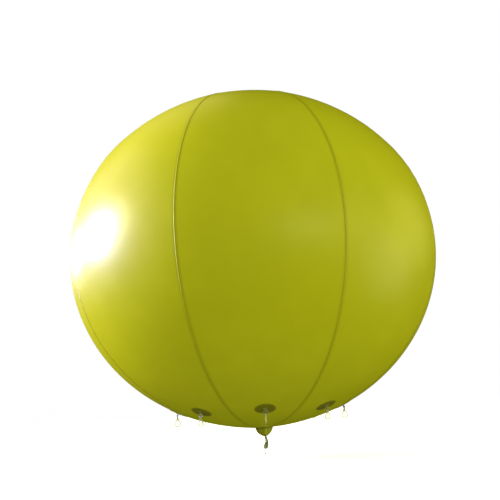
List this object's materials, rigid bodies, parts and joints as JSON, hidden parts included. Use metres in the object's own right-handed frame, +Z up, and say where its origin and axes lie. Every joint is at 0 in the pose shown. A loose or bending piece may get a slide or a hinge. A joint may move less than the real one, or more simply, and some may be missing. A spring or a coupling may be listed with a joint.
{
  "type": "advertising sky balloon",
  "caption": "Round helium advertising balloon of welded film gores, with a tied filling neck and load patches with hinged rings for tether lines.",
  "frame": {"origin": "centre of the envelope, which the air holds", "axes": "+Z up along the balloon's axis, from the filling neck to the crown; -Y through the middle of a gore"},
  "size_m": [2, 2, 1.987],
  "materials": {
    "film": "satin yellow-green PVC film",
    "seam_film": "welded double film",
    "patch_film": "dark olive reinforced film",
    "neck_film": "gathered film",
    "steel": "zinc plated wire",
    "cream_cord": "braided cream cord",
    "grey_cord": "braided blue-grey cord"
  },
  "bodies": {
    "balloon": {"gore_0": "film", "gore_1": "film", "gore_2": "film", "gore_3": "film", "gore_4": "film", "gore_5": "film", "gore_6": "film", "gore_7": "film", "seam_0": "seam_film", "seam_1": "seam_film", "seam_2": "seam_film", "seam_3": "seam_film", "seam_4": "seam_film", "seam_5": "seam_film", "seam_6": "seam_film", "seam_7": "seam_film", "load_patch_0": "patch_film", "load_patch_1": "patch_film", "load_patch_2": "patch_film", "load_patch_3": "patch_film", "load_patch_4": "patch_film", "load_patch_5": "patch_film", "load_patch_6": "patch_film", "load_patch_7": "patch_film", "crown_disc": "seam_film", "neck": "neck_film", "neck_lashing": "grey_cord", "neck_cord": "grey_cord"},
    "ring_0": {"ring_0": "steel", "cord_loop_0": "cream_cord"},
    "ring_1": {"ring_1": "steel", "cord_loop_1": "cream_cord"},
    "ring_2": {"ring_2": "steel", "cord_loop_2": "cream_cord"},
    "ring_3": {"ring_3": "steel", "cord_loop_3": "cream_cord"},
    "ring_4": {"ring_4": "steel", "cord_loop_4": "cream_cord"},
    "ring_5": {"ring_5": "steel", "cord_loop_5": "cream_cord"},
    "ring_6": {"ring_6": "steel", "cord_loop_6": "cream_cord"},
    "ring_7": {"ring_7": "steel", "cord_loop_7": "cream_cord"}
  },
  "joints": [
    {"name": "ring_swing_0", "type": "hinge", "parent": "balloon", "child": "ring_0", "pos_m": [0, -0.45321, -0.83621], "axis": [1, 0, 0], "range_deg": [-99, 50]},
    {"name": "ring_swing_1", "type": "hinge", "parent": "balloon", "child": "ring_1", "pos_m": [0.32047, -0.32047, -0.83621], "axis": [0.7071, 0.7071, 0], "range_deg": [-99, 50]},
    {"name": "ring_swing_2", "type": "hinge", "parent": "balloon", "child": "ring_2", "pos_m": [0.45321, 0, -0.83621], "axis": [0, 1, 0], "range_deg": [-99, 50]},
    {"name": "ring_swing_3", "type": "hinge", "parent": "balloon", "child": "ring_3", "pos_m": [0.32047, 0.32047, -0.83621], "axis": [-0.7071, 0.7071, 0], "range_deg": [-99, 50]},
    {"name": "ring_swing_4", "type": "hinge", "parent": "balloon", "child": "ring_4", "pos_m": [0, 0.45321, -0.83621], "axis": [-1, 0, 0], "range_deg": [-99, 50]},
    {"name": "ring_swing_5", "type": "hinge", "parent": "balloon", "child": "ring_5", "pos_m": [-0.32047, 0.32047, -0.83621], "axis": [-0.7071, -0.7071, 0], "range_deg": [-99, 50]},
    {"name": "ring_swing_6", "type": "hinge", "parent": "balloon", "child": "ring_6", "pos_m": [-0.45321, 0, -0.83621], "axis": [0, -1, 0], "range_deg": [-99, 50]},
    {"name": "ring_swing_7", "type": "hinge", "parent": "balloon", "child": "ring_7", "pos_m": [-0.32047, -0.32047, -0.83621], "axis": [0.7071, -0.7071, 0], "range_deg": [-99, 50]}
  ]
}
